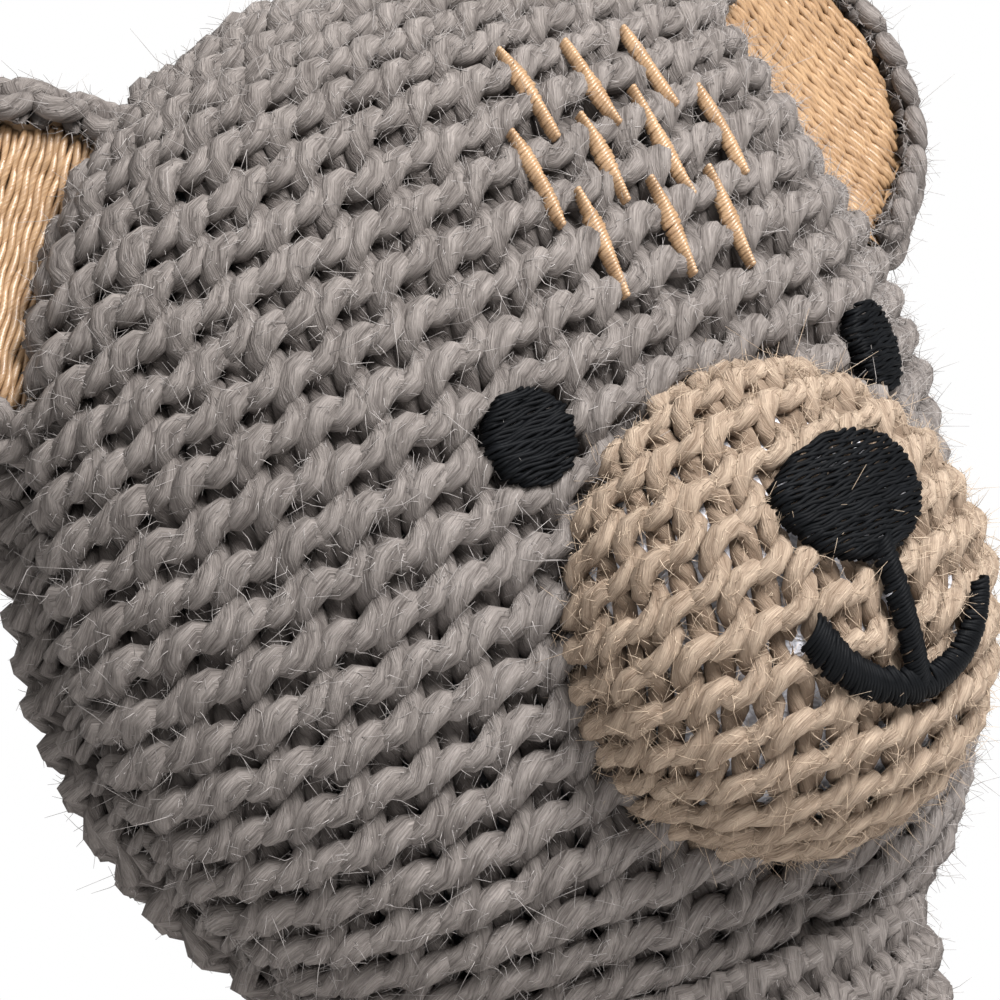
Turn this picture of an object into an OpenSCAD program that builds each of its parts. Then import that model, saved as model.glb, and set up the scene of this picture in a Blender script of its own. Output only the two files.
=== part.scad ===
// Knitted bear sock puppet: a sleeve with arms, worn on the hand, under a round stuffed head.
// Millimetres. Origin at the centre of the wrist opening, +Z up, the face looks along -Y, the bear's left is +X.

/* [Knit and layers] */
// Thickness of the knitted fabric
knit_wall = 3; // [2:0.1:3.6]
// Thickness of the lining fabric
lining_wall = 1; // [0.8:0.1:1.4]
// Clearance between one layer and the next
layer_gap = 0.3; // [0.2:0.05:0.5]
// Width of the sewing yarn between two panels
seam_w = 1.2; // [0.8:0.1:2]

/* [Head] */
// Radius of the head as seen from the front
head_r = 52; // [43:1:63]
// How far the front panel domes forward
head_front_depth = 31; // [25:1:38]
// How far the back panel domes backward
head_back_depth = 28; // [23:1:34]

/* [Muzzle] */
// Radius of the muzzle
muzzle_r = 20.8; // [17:0.1:25]
// How far the muzzle domes past its widest section
muzzle_depth = 15.4; // [12:0.1:19]
// How far the widest section of the muzzle lies behind the front of the head
muzzle_sink = 2.1; // [0:0.1:5]
// Distance from the head's centre down to the muzzle's lower edge
muzzle_low = 38; // [35:0.1:41]

/* [Embroidery] */
// How far the embroidery stands proud of the knit
thread_proud = 0.9; // [0.6:0.1:1.5]
// Diameter of an eye
eye_d = 8.2; // [6:0.1:10]
// Distance between the eyes' centres
eye_spacing = 38.4; // [36:0.1:44]
// Gap between an eye and the edge of the muzzle
eye_gap = 2.1; // [1.5:0.1:4]
// Width of the nose
nose_w = 15; // [12:0.1:18]
// Height of the nose
nose_h = 10.7; // [8:0.1:13]
// Height of the nose's centre above the muzzle's centre
nose_rise = 6.8; // [5.5:0.1:8]
// Width of the mouth's threads
mouth_thread_w = 2.5; // [2:0.1:3]
// Radius of the smile
smile_r = 10; // [8:0.1:12]
// Half of the angle that the smile covers
smile_half_angle = 70; // [50:1:80]
// Drop of the lowest point of the smile below the muzzle's centre
smile_drop = 9.2; // [7.5:0.1:11]
// Length of a forehead stitch, seen from the front
dash_len = 9.2; // [7:0.1:10]
// Width of a forehead stitch at its middle
dash_w = 1.5; // [1:0.1:2]
// Distance between forehead stitches side by side
dash_pitch_x = 6.9; // [6:0.1:8]
// Distance between the rows of forehead stitches
dash_pitch_z = 7.4; // [6.5:0.1:8.5]
// Height of the middle row above the head's centre
dash_rise = 23; // [20:0.5:25]

/* [Ears] */
// Width of an ear at its base
ear_w = 32; // [26:0.5:39]
// How far an ear stands out from the head
ear_h = 19; // [16:0.5:23]
// Thickness of an ear
ear_t = 5; // [4:0.5:6.5]
// Width of the knitted rim around the ear's lining
ear_rim = 4.5; // [3.5:0.1:6]
// Angle of the ears above the level of the head's centre
ear_angle = 32.5; // [28:0.5:40]
// How far the ears lean back
ear_lean = 20; // [10:1:30]

/* [Neck] */
// Radius of the ball-shaped neck gusset
neck_r = 21; // [19:0.5:24]
// How far the neck's pivot lies above the lowest point of the head
neck_sink = 2; // [1:0.5:4]
// Radius of the gathering thread round the neck
neck_thread_r = 1; // [0.8:0.1:1.2]

/* [Sleeve] */
// Radius of the sleeve
sleeve_r = 36; // [33:1:44]
// Height of the neck's pivot above the wrist opening
sleeve_h = 145; // [120:1:175]
// Height of the ribbed cuff
cuff_h = 24; // [18:1:30]
// Thickness of the ribbed cuff
cuff_wall = 3.8; // [3.7:0.1:4.2]

/* [Arms] */
// Drop of the shoulder pivots below the neck's pivot
arm_drop = 35; // [33:1:42]
// Radius of the ball-shaped shoulder gussets
shoulder_r = 14; // [13.5:0.5:15]
// Radius of an arm
arm_r = 13.5; // [13:0.1:14.5]
// Length of an arm from its shoulder pivot to its tip
arm_len = 52; // [43:1:63]
// How far the arms hang below the horizontal
arm_tilt = 15; // [10:1:20]

/* [Finger pockets] */
// Radius of the finger pocket in the head
head_pocket_r = 9.5; // [8.5:0.1:10]
// Length of the finger pocket in the head
head_pocket_len = 40; // [33:1:48]
// Radius of the finger pockets in the arms
arm_pocket_r = 8.8; // [8:0.1:9]

/* [Hidden] */
$fn = 96;

grey = [0.58, 0.55, 0.53];
tan = [0.80, 0.68, 0.55];
rayon = [0.87, 0.70, 0.50];
black = [0.10, 0.10, 0.11];
fibre = [0.90, 0.90, 0.90];
jersey = [0.72, 0.72, 0.75];

arc_steps = 16;                                     // straight pieces in each quarter of a profile
far = 300;                                          // longer than the puppet
neck_z = sleeve_h;
head_z = neck_z + head_r - neck_sink;
socket_gap = 0.4;                                   // clearance round the ball-shaped gussets
neck_low = 14;                                      // the neck gusset's lower edge below its pivot
neck_high = 9;                                      // the neck gusset's upper edge above its pivot
neck_thread_drop = 6;                               // the gathering thread below the neck's pivot
collar_drop = 11;                                   // the sleeve's top edge below the neck's pivot
collar_z = neck_z - collar_drop;
collar_r = sqrt(neck_r * neck_r - collar_drop * collar_drop) + 1.6;   // the sleeve's opening at the neck
shoulder_z = neck_z - 30;                           // where the sleeve starts to narrow
cuff_r = sleeve_r - cuff_wall;                      // inner radius of the wrist opening
arm_z = neck_z - arm_drop;
arm_x = sleeve_r + 2;                               // the shoulder pivots' distance from the middle
arm_root = 9;                                       // where an arm starts, along it from its pivot
gusset_in = 6;                                      // the shoulder gusset's edge inside the sleeve
gusset_out = 7;                                     // the shoulder gusset's edge inside the arm
muzzle_y = head_front_depth - muzzle_sink;          // the muzzle's widest section, in front of the head seam
muzzle_z = head_z - muzzle_low + muzzle_r;
eye_reach = muzzle_r + eye_gap + eye_d / 2;         // from the muzzle's centre to an eye's centre
eye_rise = sqrt(pow(eye_reach, 2) - pow(eye_spacing / 2, 2)) + muzzle_z - head_z;
smile_shift = 1.2;                                  // the smile sits a little towards the bear's left
pocket_top = neck_z + neck_r + socket_gap + head_pocket_len;
pocket_end = lining_wall;
ear_root = 8;                                       // how deep the ear's outline starts inside the head
ear_base_rim = 1;                                   // knit left between the ear's lining and the head

// Quarter ellipse from [r, 0] to [0, d]
function quarter(r, d) = [for (i = [0:arc_steps]) [r * cos(90 * i / arc_steps), d * sin(90 * i / arc_steps)]];

// Same points from the last to the first
function backwards(points) = [for (i = [len(points) - 1:-1:0]) points[i]];

// Half of a flattened ball, standing on the XY plane
module dome(r, d) {
    rotate_extrude() polygon(concat([[0, 0]], quarter(r, d)));
}

// Wall of such a dome
module dome_wall(r, d, wall) {
    rotate_extrude() polygon(concat(quarter(r, d), backwards(quarter(r - wall, d - wall))));
}

// Turns what stands up along +Z to the front
module to_front() {
    rotate([90, 0, 0]) children();
}

// Turns what stands up along +Z to the back
module to_back() {
    rotate([-90, 0, 0]) children();
}

// The head's outer form, grown on every side
module head_form(grow) {
    translate([0, 0, head_z]) {
        to_front() dome(head_r + grow, head_front_depth + grow);
        to_back() dome(head_r + grow, head_back_depth + grow);
    }
}

// The muzzle's outer form, grown on every side, running back into the head
module muzzle_form(grow) {
    translate([0, -muzzle_y, muzzle_z]) to_front() dome(muzzle_r + grow, muzzle_depth + grow);
    translate([0, 0, muzzle_z]) to_front() cylinder(r = muzzle_r + grow, h = muzzle_y + 0.01);
}

// Ball-shaped room for a gusset round the neck's pivot
module neck_room() {
    translate([0, 0, neck_z]) rotate([90, 0, 0]) sphere(r = neck_r + socket_gap);
}

// The same room round each shoulder's pivot
module shoulder_rooms() {
    for (side = [-1, 1]) translate([side * arm_x, 0, arm_z]) sphere(r = shoulder_r + socket_gap);
}

// Slab through the side seams, of a given thickness
module seam_slab(thick) {
    translate([-far, -thick / 2, -far]) cube([2 * far, thick, 2 * far]);
}

// Everything in front of the seam slab or behind it
module half_space(front, thick) {
    translate([-far, front ? -2 * far - thick / 2 : thick / 2, -far]) cube([2 * far, 2 * far, 3 * far]);
}

// ---- sleeve ----

// The sleeve's wall between two depths under its outer face, from the cuff to the neck
module sleeve_wall(outer, inner) {
    high = collar_z - shoulder_z;
    low = cuff_h + layer_gap;
    ring = sleeve_r - collar_r;
    function shoulder(depth) = [
        for (p = quarter(ring - depth, high - depth)) [collar_r + p[0], shoulder_z + p[1]]
    ];
    rotate_extrude() polygon(concat(
        [[sleeve_r - outer, low]],
        shoulder(outer),
        backwards(shoulder(inner)),
        [[sleeve_r - inner, low]]
    ));
}

module body_panel(front) {
    color(grey) difference() {
        intersection() {
            sleeve_wall(0, knit_wall);
            half_space(front, seam_w + 2 * layer_gap);
        }
        shoulder_rooms();
    }
}

module body_front() {
    body_panel(true);
}

module body_back() {
    body_panel(false);
}

module side_seams() {
    color(grey) difference() {
        intersection() {
            sleeve_wall(0, knit_wall);
            seam_slab(seam_w);
        }
        shoulder_rooms();
    }
}

module body_lining() {
    color(jersey) difference() {
        sleeve_wall(knit_wall + layer_gap, knit_wall + layer_gap + lining_wall);
        shoulder_rooms();
    }
}

module cuff() {
    color(grey) difference() {
        cylinder(r = sleeve_r, h = cuff_h);
        translate([0, 0, -1]) cylinder(r = cuff_r, h = cuff_h + 2);
    }
}

// ---- neck ----

module neck_gusset() {
    color(grey) translate([0, 0, neck_z]) intersection() {
        difference() {
            sphere(r = neck_r);
            sphere(r = neck_r - knit_wall);
        }
        translate([-far, -far, -neck_low]) cube([2 * far, 2 * far, neck_low + neck_high]);
    }
}

module neck_thread() {
    ring_r = sqrt(pow(neck_r + neck_thread_r + layer_gap / 2, 2) - neck_thread_drop * neck_thread_drop);
    color(grey) translate([0, 0, neck_z - neck_thread_drop]) rotate_extrude() {
        translate([ring_r, 0]) circle(r = neck_thread_r, $fn = 32);
    }
}

// ---- head ----

module head_front() {
    color(grey) difference() {
        translate([0, 0, head_z]) to_front() dome_wall(head_r, head_front_depth, knit_wall);
        seam_slab(seam_w + 2 * layer_gap);
        neck_room();
    }
}

module head_back() {
    color(grey) difference() {
        translate([0, 0, head_z]) to_back() dome_wall(head_r, head_back_depth, knit_wall);
        seam_slab(seam_w + 2 * layer_gap);
        neck_room();
    }
}

module head_seam() {
    color(grey) difference() {
        translate([0, seam_w / 2, head_z]) to_front() difference() {
            cylinder(r = head_r, h = seam_w);
            translate([0, 0, -1]) cylinder(r = head_r - knit_wall, h = seam_w + 2);
        }
        neck_room();
    }
}

module head_stuffing() {
    inset = knit_wall + layer_gap;
    color(fibre) difference() {
        head_form(-inset);
        neck_room();
        translate([0, 0, neck_z]) {
            cylinder(r = head_pocket_r + lining_wall + layer_gap, h = pocket_top - neck_z + pocket_end + layer_gap);
        }
    }
}

module finger_pocket() {
    color(jersey) difference() {
        translate([0, 0, neck_z]) {
            cylinder(r = head_pocket_r + lining_wall, h = pocket_top - neck_z + pocket_end);
        }
        cylinder(r = head_pocket_r, h = pocket_top);
        neck_room();
    }
}

// ---- muzzle and face ----

module muzzle() {
    color(tan) difference() {
        muzzle_form(0);
        muzzle_form(-knit_wall);
        head_form(layer_gap);
    }
}

module muzzle_stuffing() {
    color(fibre) difference() {
        muzzle_form(-knit_wall - layer_gap);
        head_form(layer_gap);
    }
}

// A flat outline, in X and height above the head's centre, laid on the head as embroidery
module on_head() {
    difference() {
        intersection() {
            translate([0, 0, head_z]) to_front() linear_extrude(height = far) children();
            head_form(thread_proud);
        }
        head_form(0);
    }
}

// The same on the muzzle, with heights above the muzzle's centre
module on_muzzle() {
    difference() {
        intersection() {
            translate([0, 0, muzzle_z]) to_front() linear_extrude(height = far) children();
            muzzle_form(thread_proud);
        }
        muzzle_form(0);
    }
}

module nose() {
    points = [for (a = [0:10:350]) [nose_w / 2 * cos(a) * (1 + 0.14 * sin(a)), nose_rise + nose_h / 2 * sin(a)]];
    color(black) on_muzzle() polygon(points);
}

// A band along the smile, narrower towards its ends
module smile_outline() {
    steps = 20;
    middle = smile_r - smile_drop;
    function place(i, out) = let (
        share = i / steps * 2 - 1,
        a = -90 + share * smile_half_angle,
        r = smile_r + out * mouth_thread_w / 2 * (1 - 0.45 * pow(abs(share), 4))
    ) [smile_shift + r * cos(a), middle + r * sin(a)];
    polygon(concat([for (i = [0:steps]) place(i, 1)], [for (i = [steps:-1:0]) place(i, -1)]));
}

module mouth() {
    stem_top = nose_rise - nose_h / 2 - layer_gap;
    color(black) on_muzzle() {
        smile_outline();
        translate([-mouth_thread_w / 2, -smile_drop]) square([mouth_thread_w, smile_drop + stem_top]);
    }
}

module eye(side) {
    color(black) on_head() translate([side * eye_spacing / 2, eye_rise]) circle(d = eye_d);
}

module eye_left() {
    eye(1);
}

module eye_right() {
    eye(-1);
}

// A stitch that is pointed at both ends
module dash_outline() {
    half = dash_len / 2;
    polygon([
        [0, -half], [dash_w / 2, -half / 2], [dash_w / 2, half / 2],
        [0, half], [-dash_w / 2, half / 2], [-dash_w / 2, -half / 2]
    ]);
}

module forehead_stitches() {
    rows = [3, 4, 3];
    color(rayon) on_head() {
        for (row = [0:2]) {
            for (i = [0:rows[row] - 1]) {
                translate([(i - (rows[row] - 1) / 2) * dash_pitch_x, dash_rise + (1 - row) * dash_pitch_z]) {
                    dash_outline();
                }
            }
        }
    }
}

// ---- ears ----

// Stands an ear, drawn flat with +Y outwards, on the left side of the head
module on_ring() {
    translate([0, 0, head_z]) rotate([0, 90 - ear_angle, 0]) translate([0, 0, head_r]) {
        rotate([-ear_lean, 0, 0]) rotate([90, 0, 0]) children();
    }
}

// The ear's outline, pulled in by a rim
module ear_outline(rim) {
    points = [for (a = [0:7.5:180]) [(ear_w / 2 - rim) * cos(a), (ear_h - rim) * sin(a)]];
    polygon(concat([[ear_w / 2 - rim, -ear_root]], points, [[rim - ear_w / 2, -ear_root]]));
}

module ear_knit() {
    color(grey) difference() {
        on_ring() difference() {
            translate([0, 0, -ear_t / 2]) linear_extrude(height = ear_t) ear_outline(0);
            translate([0, 0, ear_t / 2 - lining_wall]) {
                linear_extrude(height = 2 * lining_wall) ear_outline(ear_rim);
            }
        }
        head_form(layer_gap);
    }
}

module ear_lining() {
    color(rayon) difference() {
        on_ring() translate([0, 0, ear_t / 2 - lining_wall + layer_gap / 3]) {
            linear_extrude(height = lining_wall) ear_outline(ear_rim + layer_gap);
        }
        head_form(layer_gap + ear_base_rim);
    }
}

module ear_left() {
    ear_knit();
}

module ear_left_lining() {
    ear_lining();
}

module ear_right() {
    mirror([1, 0, 0]) ear_knit();
}

module ear_right_lining() {
    mirror([1, 0, 0]) ear_lining();
}

// ---- arms ----

// Lays what stands up along +Z down along the left arm, from its shoulder pivot
module along_arm() {
    translate([arm_x, 0, arm_z]) rotate([0, 90 + arm_tilt, 0]) children();
}

// A round-ended solid of revolution from the arm's root to a tip
module arm_form(r, tip) {
    round_len = r * 0.9;
    points = [for (p = quarter(r, round_len)) [p[0], tip - round_len + p[1]]];
    rotate_extrude() polygon(concat([[0, arm_root], [r, arm_root]], points));
}

module shoulder_gusset() {
    color(grey) along_arm() intersection() {
        difference() {
            sphere(r = shoulder_r);
            sphere(r = shoulder_r - knit_wall);
            translate([0, 0, -shoulder_r]) cylinder(r = arm_pocket_r + layer_gap, h = 2 * shoulder_r);
        }
        translate([-far, -far, -gusset_in]) cube([2 * far, 2 * far, gusset_in + gusset_out]);
    }
}

module arm_knit() {
    color(grey) along_arm() difference() {
        arm_form(arm_r, arm_len);
        arm_form(arm_pocket_r + lining_wall + layer_gap, arm_len - knit_wall);
        translate([0, 0, arm_root - 1]) cylinder(r = arm_pocket_r + lining_wall + layer_gap, h = 2);
        sphere(r = shoulder_r + socket_gap);
    }
}

module arm_finger_lining() {
    tip = arm_len - knit_wall - layer_gap;
    color(jersey) along_arm() difference() {
        arm_form(arm_pocket_r + lining_wall, tip);
        arm_form(arm_pocket_r, tip - lining_wall);
        sphere(r = shoulder_r + socket_gap);
    }
}

module shoulder_gusset_left() {
    shoulder_gusset();
}

module arm_left() {
    arm_knit();
}

module arm_left_lining() {
    arm_finger_lining();
}

module shoulder_gusset_right() {
    mirror([1, 0, 0]) shoulder_gusset();
}

module arm_right() {
    mirror([1, 0, 0]) arm_knit();
}

module arm_right_lining() {
    mirror([1, 0, 0]) arm_finger_lining();
}

body_front();
body_back();
side_seams();
body_lining();
cuff();
neck_gusset();
neck_thread();
head_front();
head_back();
head_seam();
head_stuffing();
finger_pocket();
muzzle();
muzzle_stuffing();
nose();
mouth();
eye_left();
eye_right();
forehead_stitches();
ear_left();
ear_left_lining();
ear_right();
ear_right_lining();
shoulder_gusset_left();
arm_left();
arm_left_lining();
shoulder_gusset_right();
arm_right();
arm_right_lining();
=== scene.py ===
import math
import bpy
import numpy as np
from mathutils import Matrix, Vector


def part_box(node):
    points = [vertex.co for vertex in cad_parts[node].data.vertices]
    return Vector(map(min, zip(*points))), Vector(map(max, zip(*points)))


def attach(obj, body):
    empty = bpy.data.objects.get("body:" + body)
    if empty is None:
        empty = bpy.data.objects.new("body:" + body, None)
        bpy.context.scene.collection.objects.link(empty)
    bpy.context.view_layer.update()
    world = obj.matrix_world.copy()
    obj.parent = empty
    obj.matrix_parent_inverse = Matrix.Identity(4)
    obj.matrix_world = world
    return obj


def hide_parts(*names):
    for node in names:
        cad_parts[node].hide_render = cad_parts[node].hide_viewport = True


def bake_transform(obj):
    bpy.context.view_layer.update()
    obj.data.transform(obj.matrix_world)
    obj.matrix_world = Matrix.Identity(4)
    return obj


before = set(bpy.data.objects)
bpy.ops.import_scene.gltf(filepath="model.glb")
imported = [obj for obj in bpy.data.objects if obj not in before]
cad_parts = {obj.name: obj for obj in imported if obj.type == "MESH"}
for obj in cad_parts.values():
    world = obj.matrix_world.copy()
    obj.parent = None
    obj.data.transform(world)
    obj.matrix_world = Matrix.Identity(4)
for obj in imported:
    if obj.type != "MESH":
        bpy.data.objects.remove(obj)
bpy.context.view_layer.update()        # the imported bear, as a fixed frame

mm = 0.001                # lengths below are in millimetres; makeMesh turns them into metres
rng = np.random.default_rng(11)
fullTurn = 2 * math.pi
print("frame loaded:", len(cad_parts), "nodes")


# lowest and highest corner of a CAD node, in millimetres
def cadBox(node):
    low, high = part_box(node)
    return np.array(low) / mm, np.array(high) / mm


# camera, light and floor

camera = {
    "place": (-214.6, -300.4, 182.7),   # millimetres
    "azimuth": -35.09, "elevation": -1.69, "roll": -16.6,   # degrees
    "lens": 147.4, "sensor": 36,
}


# view axes: back = (sin az cos el, -cos az cos el, sin el); right = z x back; up = back x right, both rolled
def addCamera(look):
    azimuth, elevation, roll = (math.radians(look[k]) for k in ("azimuth", "elevation", "roll"))
    back = Vector((math.sin(azimuth) * math.cos(elevation), -math.cos(azimuth) * math.cos(elevation),
                   math.sin(elevation)))
    right = Vector((0, 0, 1)).cross(back).normalized()
    up = back.cross(right)
    rolledRight = right * math.cos(roll) + up * math.sin(roll)
    rolledUp = up * math.cos(roll) - right * math.sin(roll)
    data = bpy.data.cameras.new("camera")
    data.lens = look["lens"]
    data.sensor_width = look["sensor"]
    data.clip_start, data.clip_end = 0.01, 20
    eye = bpy.data.objects.new("camera", data)
    bpy.context.scene.collection.objects.link(eye)
    eye.matrix_world = Matrix.Translation(Vector(look["place"]) * mm) @ Matrix(
        (rolledRight, rolledUp, back)).transposed().to_4x4()
    bpy.context.scene.camera = eye


addCamera(camera)

studio = {
    "target": (0, 0, 185),               # millimetres, what the lamps point at
    # name: (place in millimetres, size in millimetres, watts)
    "lamps": {
        "key": ((110, -550, 600), 300, 12.7),
        "fill": ((-520, -260, 420), 500, 1.3),
        "back": ((300, 420, 560), 420, 4.0),
    },
    "ambient": 0.25,                     # how strongly the white surroundings light the puppet
    "floorSize": 900, "floorTone": 0.82, "floorRoughness": 0.9,
}


def addStudio(look):
    target = Vector(look["target"]) * mm
    for name, (place, size, watts) in look["lamps"].items():
        data = bpy.data.lights.new(name, "AREA")
        data.size = size * mm
        data.energy = watts
        lamp = bpy.data.objects.new(name, data)
        lamp.location = Vector(place) * mm
        lamp.rotation_mode = "QUATERNION"
        lamp.rotation_quaternion = (target - lamp.location).to_track_quat("-Z", "Y")
        bpy.context.scene.collection.objects.link(lamp)
    world = bpy.data.worlds.new("studio")
    world.use_nodes = True
    nodes, links = world.node_tree.nodes, world.node_tree.links
    sky = nodes["Background"]
    sky.inputs["Color"].default_value = (1, 1, 1, 1)
    seen = nodes.new("ShaderNodeLightPath")
    strength = nodes.new("ShaderNodeMath")
    strength.operation = "MULTIPLY_ADD"
    links.new(seen.outputs["Is Camera Ray"], strength.inputs[0])
    strength.inputs[1].default_value = 1 - look["ambient"]
    strength.inputs[2].default_value = look["ambient"]
    links.new(strength.outputs[0], sky.inputs["Strength"])
    bpy.context.scene.world = world
    half = look["floorSize"] / 2 * mm
    mesh = bpy.data.meshes.new("floor")
    corners = [(-half, -half, 0), (half, -half, 0), (half, half, 0), (-half, half, 0)]
    mesh.from_pydata(corners, [], [(0, 1, 2, 3)])
    paper = bpy.data.materials.new("paper")
    paper.use_nodes = True
    shader = paper.node_tree.nodes["Principled BSDF"]
    shader.inputs["Base Color"].default_value = (*[look["floorTone"]] * 3, 1)
    shader.inputs["Roughness"].default_value = look["floorRoughness"]
    mesh.materials.append(paper)
    floor = bpy.data.objects.new("floor", mesh)
    bpy.context.scene.collection.objects.link(floor)
    bpy.context.scene.view_settings.view_transform = "Standard"


addStudio(studio)
print("camera and light set")


# materials

# a small builder, so that each material below reads as a recipe
class Recipe:
    def __init__(self, name):
        self.material = bpy.data.materials.new(name)
        self.material.use_nodes = True
        self.tree = self.material.node_tree
        self.shader = self.tree.nodes["Principled BSDF"]

    def node(self, kind, **values):
        made = self.tree.nodes.new("ShaderNode" + kind)
        for key, value in values.items():
            setattr(made, key, value)
        return made

    def put(self, value, socket):
        if isinstance(value, bpy.types.NodeSocket):
            self.tree.links.new(value, socket)
        else:
            socket.default_value = value

    def math(self, operation, *values):
        made = self.node("Math", operation=operation)
        for socket, value in zip(made.inputs, values):
            self.put(value, socket)
        return made.outputs[0]

    def vector(self, x=0.0, y=0.0, z=0.0):
        made = self.node("CombineXYZ")
        for socket, value in zip(made.inputs, (x, y, z)):
            self.put(value, socket)
        return made.outputs[0]

    def noise(self, vector, scale, detail=2.0, roughness=0.5):
        made = self.node("TexNoise")
        self.put(vector, made.inputs["Vector"])
        self.put(scale, made.inputs["Scale"])
        self.put(detail, made.inputs["Detail"])
        self.put(roughness, made.inputs["Roughness"])
        return made.outputs["Fac"]

    def spread(self, value, low, high):
        made = self.node("MapRange")
        for socket, item in zip(made.inputs, (value, low, high, 0.0, 1.0)):
            self.put(item, socket)
        return made.outputs[0]

    def mix(self, factor, first, second):
        made = self.node("Mix", data_type="RGBA")
        self.put(factor, made.inputs["Factor"])
        self.put(first, made.inputs[6])
        self.put(second, made.inputs[7])
        return made.outputs[2]

    def bump(self, height, strength, distance):
        made = self.node("Bump")
        self.put(strength, made.inputs["Strength"])
        self.put(distance * mm, made.inputs["Distance"])
        self.put(height, made.inputs["Height"])
        self.put(made.outputs[0], self.shader.inputs["Normal"])


def setFinish(shader, roughness, sheen=0.0, sheenRoughness=0.5, specular=0.5, tint=(1, 1, 1)):
    shader.inputs["Roughness"].default_value = roughness
    shader.inputs["Sheen Weight"].default_value = sheen
    shader.inputs["Sheen Roughness"].default_value = sheenRoughness
    shader.inputs["Sheen Tint"].default_value = (*tint, 1)
    shader.inputs["Specular IOR Level"].default_value = specular


# spun yarn: the UV runs along the yarn in centimetres and once around it; plies and fibres wind round it
def yarnMaterial(name, look):
    recipe = Recipe(name)
    uv = recipe.node("UVMap", uv_map="yarn")
    parts = recipe.node("SeparateXYZ")
    recipe.put(uv.outputs[0], parts.inputs[0])
    along, around = parts.outputs[0], parts.outputs[1]
    wound = recipe.math("ADD", around, recipe.math("MULTIPLY", along, look["turns"]))
    place = recipe.node("TexCoord").outputs["Object"]
    wobble = recipe.math("MULTIPLY", recipe.noise(place, 700.0, 1.0), look["wobble"])
    plyPhase = recipe.math("MULTIPLY", recipe.math("ADD", wound, wobble), look["plies"] * fullTurn)
    ply = recipe.math("MULTIPLY_ADD", recipe.math("SINE", plyPhase), 0.5, 0.5)
    ply = recipe.math("POWER", ply, 0.55)
    fibre = recipe.noise(recipe.vector(recipe.math("MULTIPLY", along, look["fibreAlong"]),
                                       recipe.math("MULTIPLY", wound, look["fibreAround"]), wobble),
                         1.0, 3.0, 0.65)
    fibre = recipe.spread(fibre, 0.34, 0.66)
    heather = recipe.spread(recipe.noise(place, 160.0, 3.0), 0.3, 0.7)
    height = recipe.math("ADD", recipe.math("MULTIPLY", ply, 0.5), recipe.math("MULTIPLY", fibre, 0.45))
    # the tone follows the ply relief, so the grooves between the plies are darker: painted shade; the fibre
    # streaks and the heather are the yarn's own tones
    tone = recipe.math("ADD", recipe.math("MULTIPLY", ply, 0.34), recipe.math("MULTIPLY", fibre, 0.5))
    tone = recipe.math("ADD", tone, recipe.math("MULTIPLY", heather, 0.22))
    tone = recipe.spread(tone, 0.12, 0.98)
    # painted shade: the colour is darkened by up to 85 % where the hollow attribute marks yarn lying deep
    # behind the stitches
    hollow = recipe.node("Attribute", attribute_name="hollow").outputs["Fac"]
    tone = recipe.math("MULTIPLY", tone, recipe.math("SUBTRACT", 1.0, recipe.math("MULTIPLY", hollow, 0.85)))
    colour = recipe.mix(tone, (*look["dark"], 1), (*look["light"], 1))
    recipe.put(colour, recipe.shader.inputs["Base Color"])
    recipe.bump(height, look["relief"], 0.35)
    setFinish(recipe.shader, look["roughness"], look["sheen"], 0.45, look["specular"], look["light"])
    return recipe.material


# loose hairs: two tones in soft patches
def fuzzMaterial(name, dark, light):
    recipe = Recipe(name)
    cloud = recipe.noise(recipe.node("TexCoord").outputs["Object"], 700.0, 2.0)
    recipe.put(recipe.mix(recipe.spread(cloud, 0.3, 0.7), (*dark, 1), (*light, 1)),
               recipe.shader.inputs["Base Color"])
    setFinish(recipe.shader, 0.9, 0.0, 0.5, 0.15)
    return recipe.material


# embroidery thread: fine filaments wound round it, with a soft silky shine
threadColours = {
    "tan": ((0.18, 0.098, 0.046), (0.42, 0.27, 0.15)),
    "black": ((0.0012, 0.0014, 0.0018), (0.0058, 0.0064, 0.0076)),
}


def threadMaterial(name, dark, light, roughness, specular):
    recipe = Recipe(name)
    uv = recipe.node("UVMap", uv_map="yarn")
    parts = recipe.node("SeparateXYZ")
    recipe.put(uv.outputs[0], parts.inputs[0])
    wound = recipe.math("MULTIPLY_ADD", parts.outputs[0], 5.0, parts.outputs[1])
    filament = recipe.noise(recipe.vector(recipe.math("MULTIPLY", parts.outputs[0], 6.0),
                                          recipe.math("MULTIPLY", wound, 9.0)), 1.0, 2.0)
    patch = recipe.noise(recipe.node("TexCoord").outputs["Object"], 420.0, 2.0)
    tone = recipe.math("ADD", recipe.math("MULTIPLY", filament, 0.7), recipe.math("MULTIPLY", patch, 0.5))
    recipe.put(recipe.mix(recipe.spread(tone, 0.35, 0.85), (*dark, 1), (*light, 1)),
               recipe.shader.inputs["Base Color"])
    recipe.bump(filament, 0.5, 0.1)
    setFinish(recipe.shader, roughness, 0.0, 0.4, specular, light)
    return recipe.material


# loose fibre filling: pale, with tangled streaks
def fibreMaterial(name, dark, light):
    recipe = Recipe(name)
    place = recipe.node("TexCoord").outputs["Object"]
    bend = recipe.noise(place, 240.0, 3.0)
    streak = recipe.node("TexWave", wave_type="BANDS", bands_direction="DIAGONAL")
    recipe.put(place, streak.inputs["Vector"])
    for key, value in (("Scale", 420.0), ("Distortion", 14.0), ("Detail", 3.0), ("Detail Scale", 1.6)):
        streak.inputs[key].default_value = value
    tone = recipe.math("ADD", recipe.math("MULTIPLY", bend, 0.7),
                       recipe.math("MULTIPLY", streak.outputs["Fac"], 0.4))
    recipe.put(recipe.mix(recipe.spread(tone, 0.2, 0.9), (*dark, 1), (*light, 1)),
               recipe.shader.inputs["Base Color"])
    recipe.bump(tone, 0.7, 0.5)
    setFinish(recipe.shader, 0.85, 0.4, 0.5, 0.3)
    return recipe.material
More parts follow.
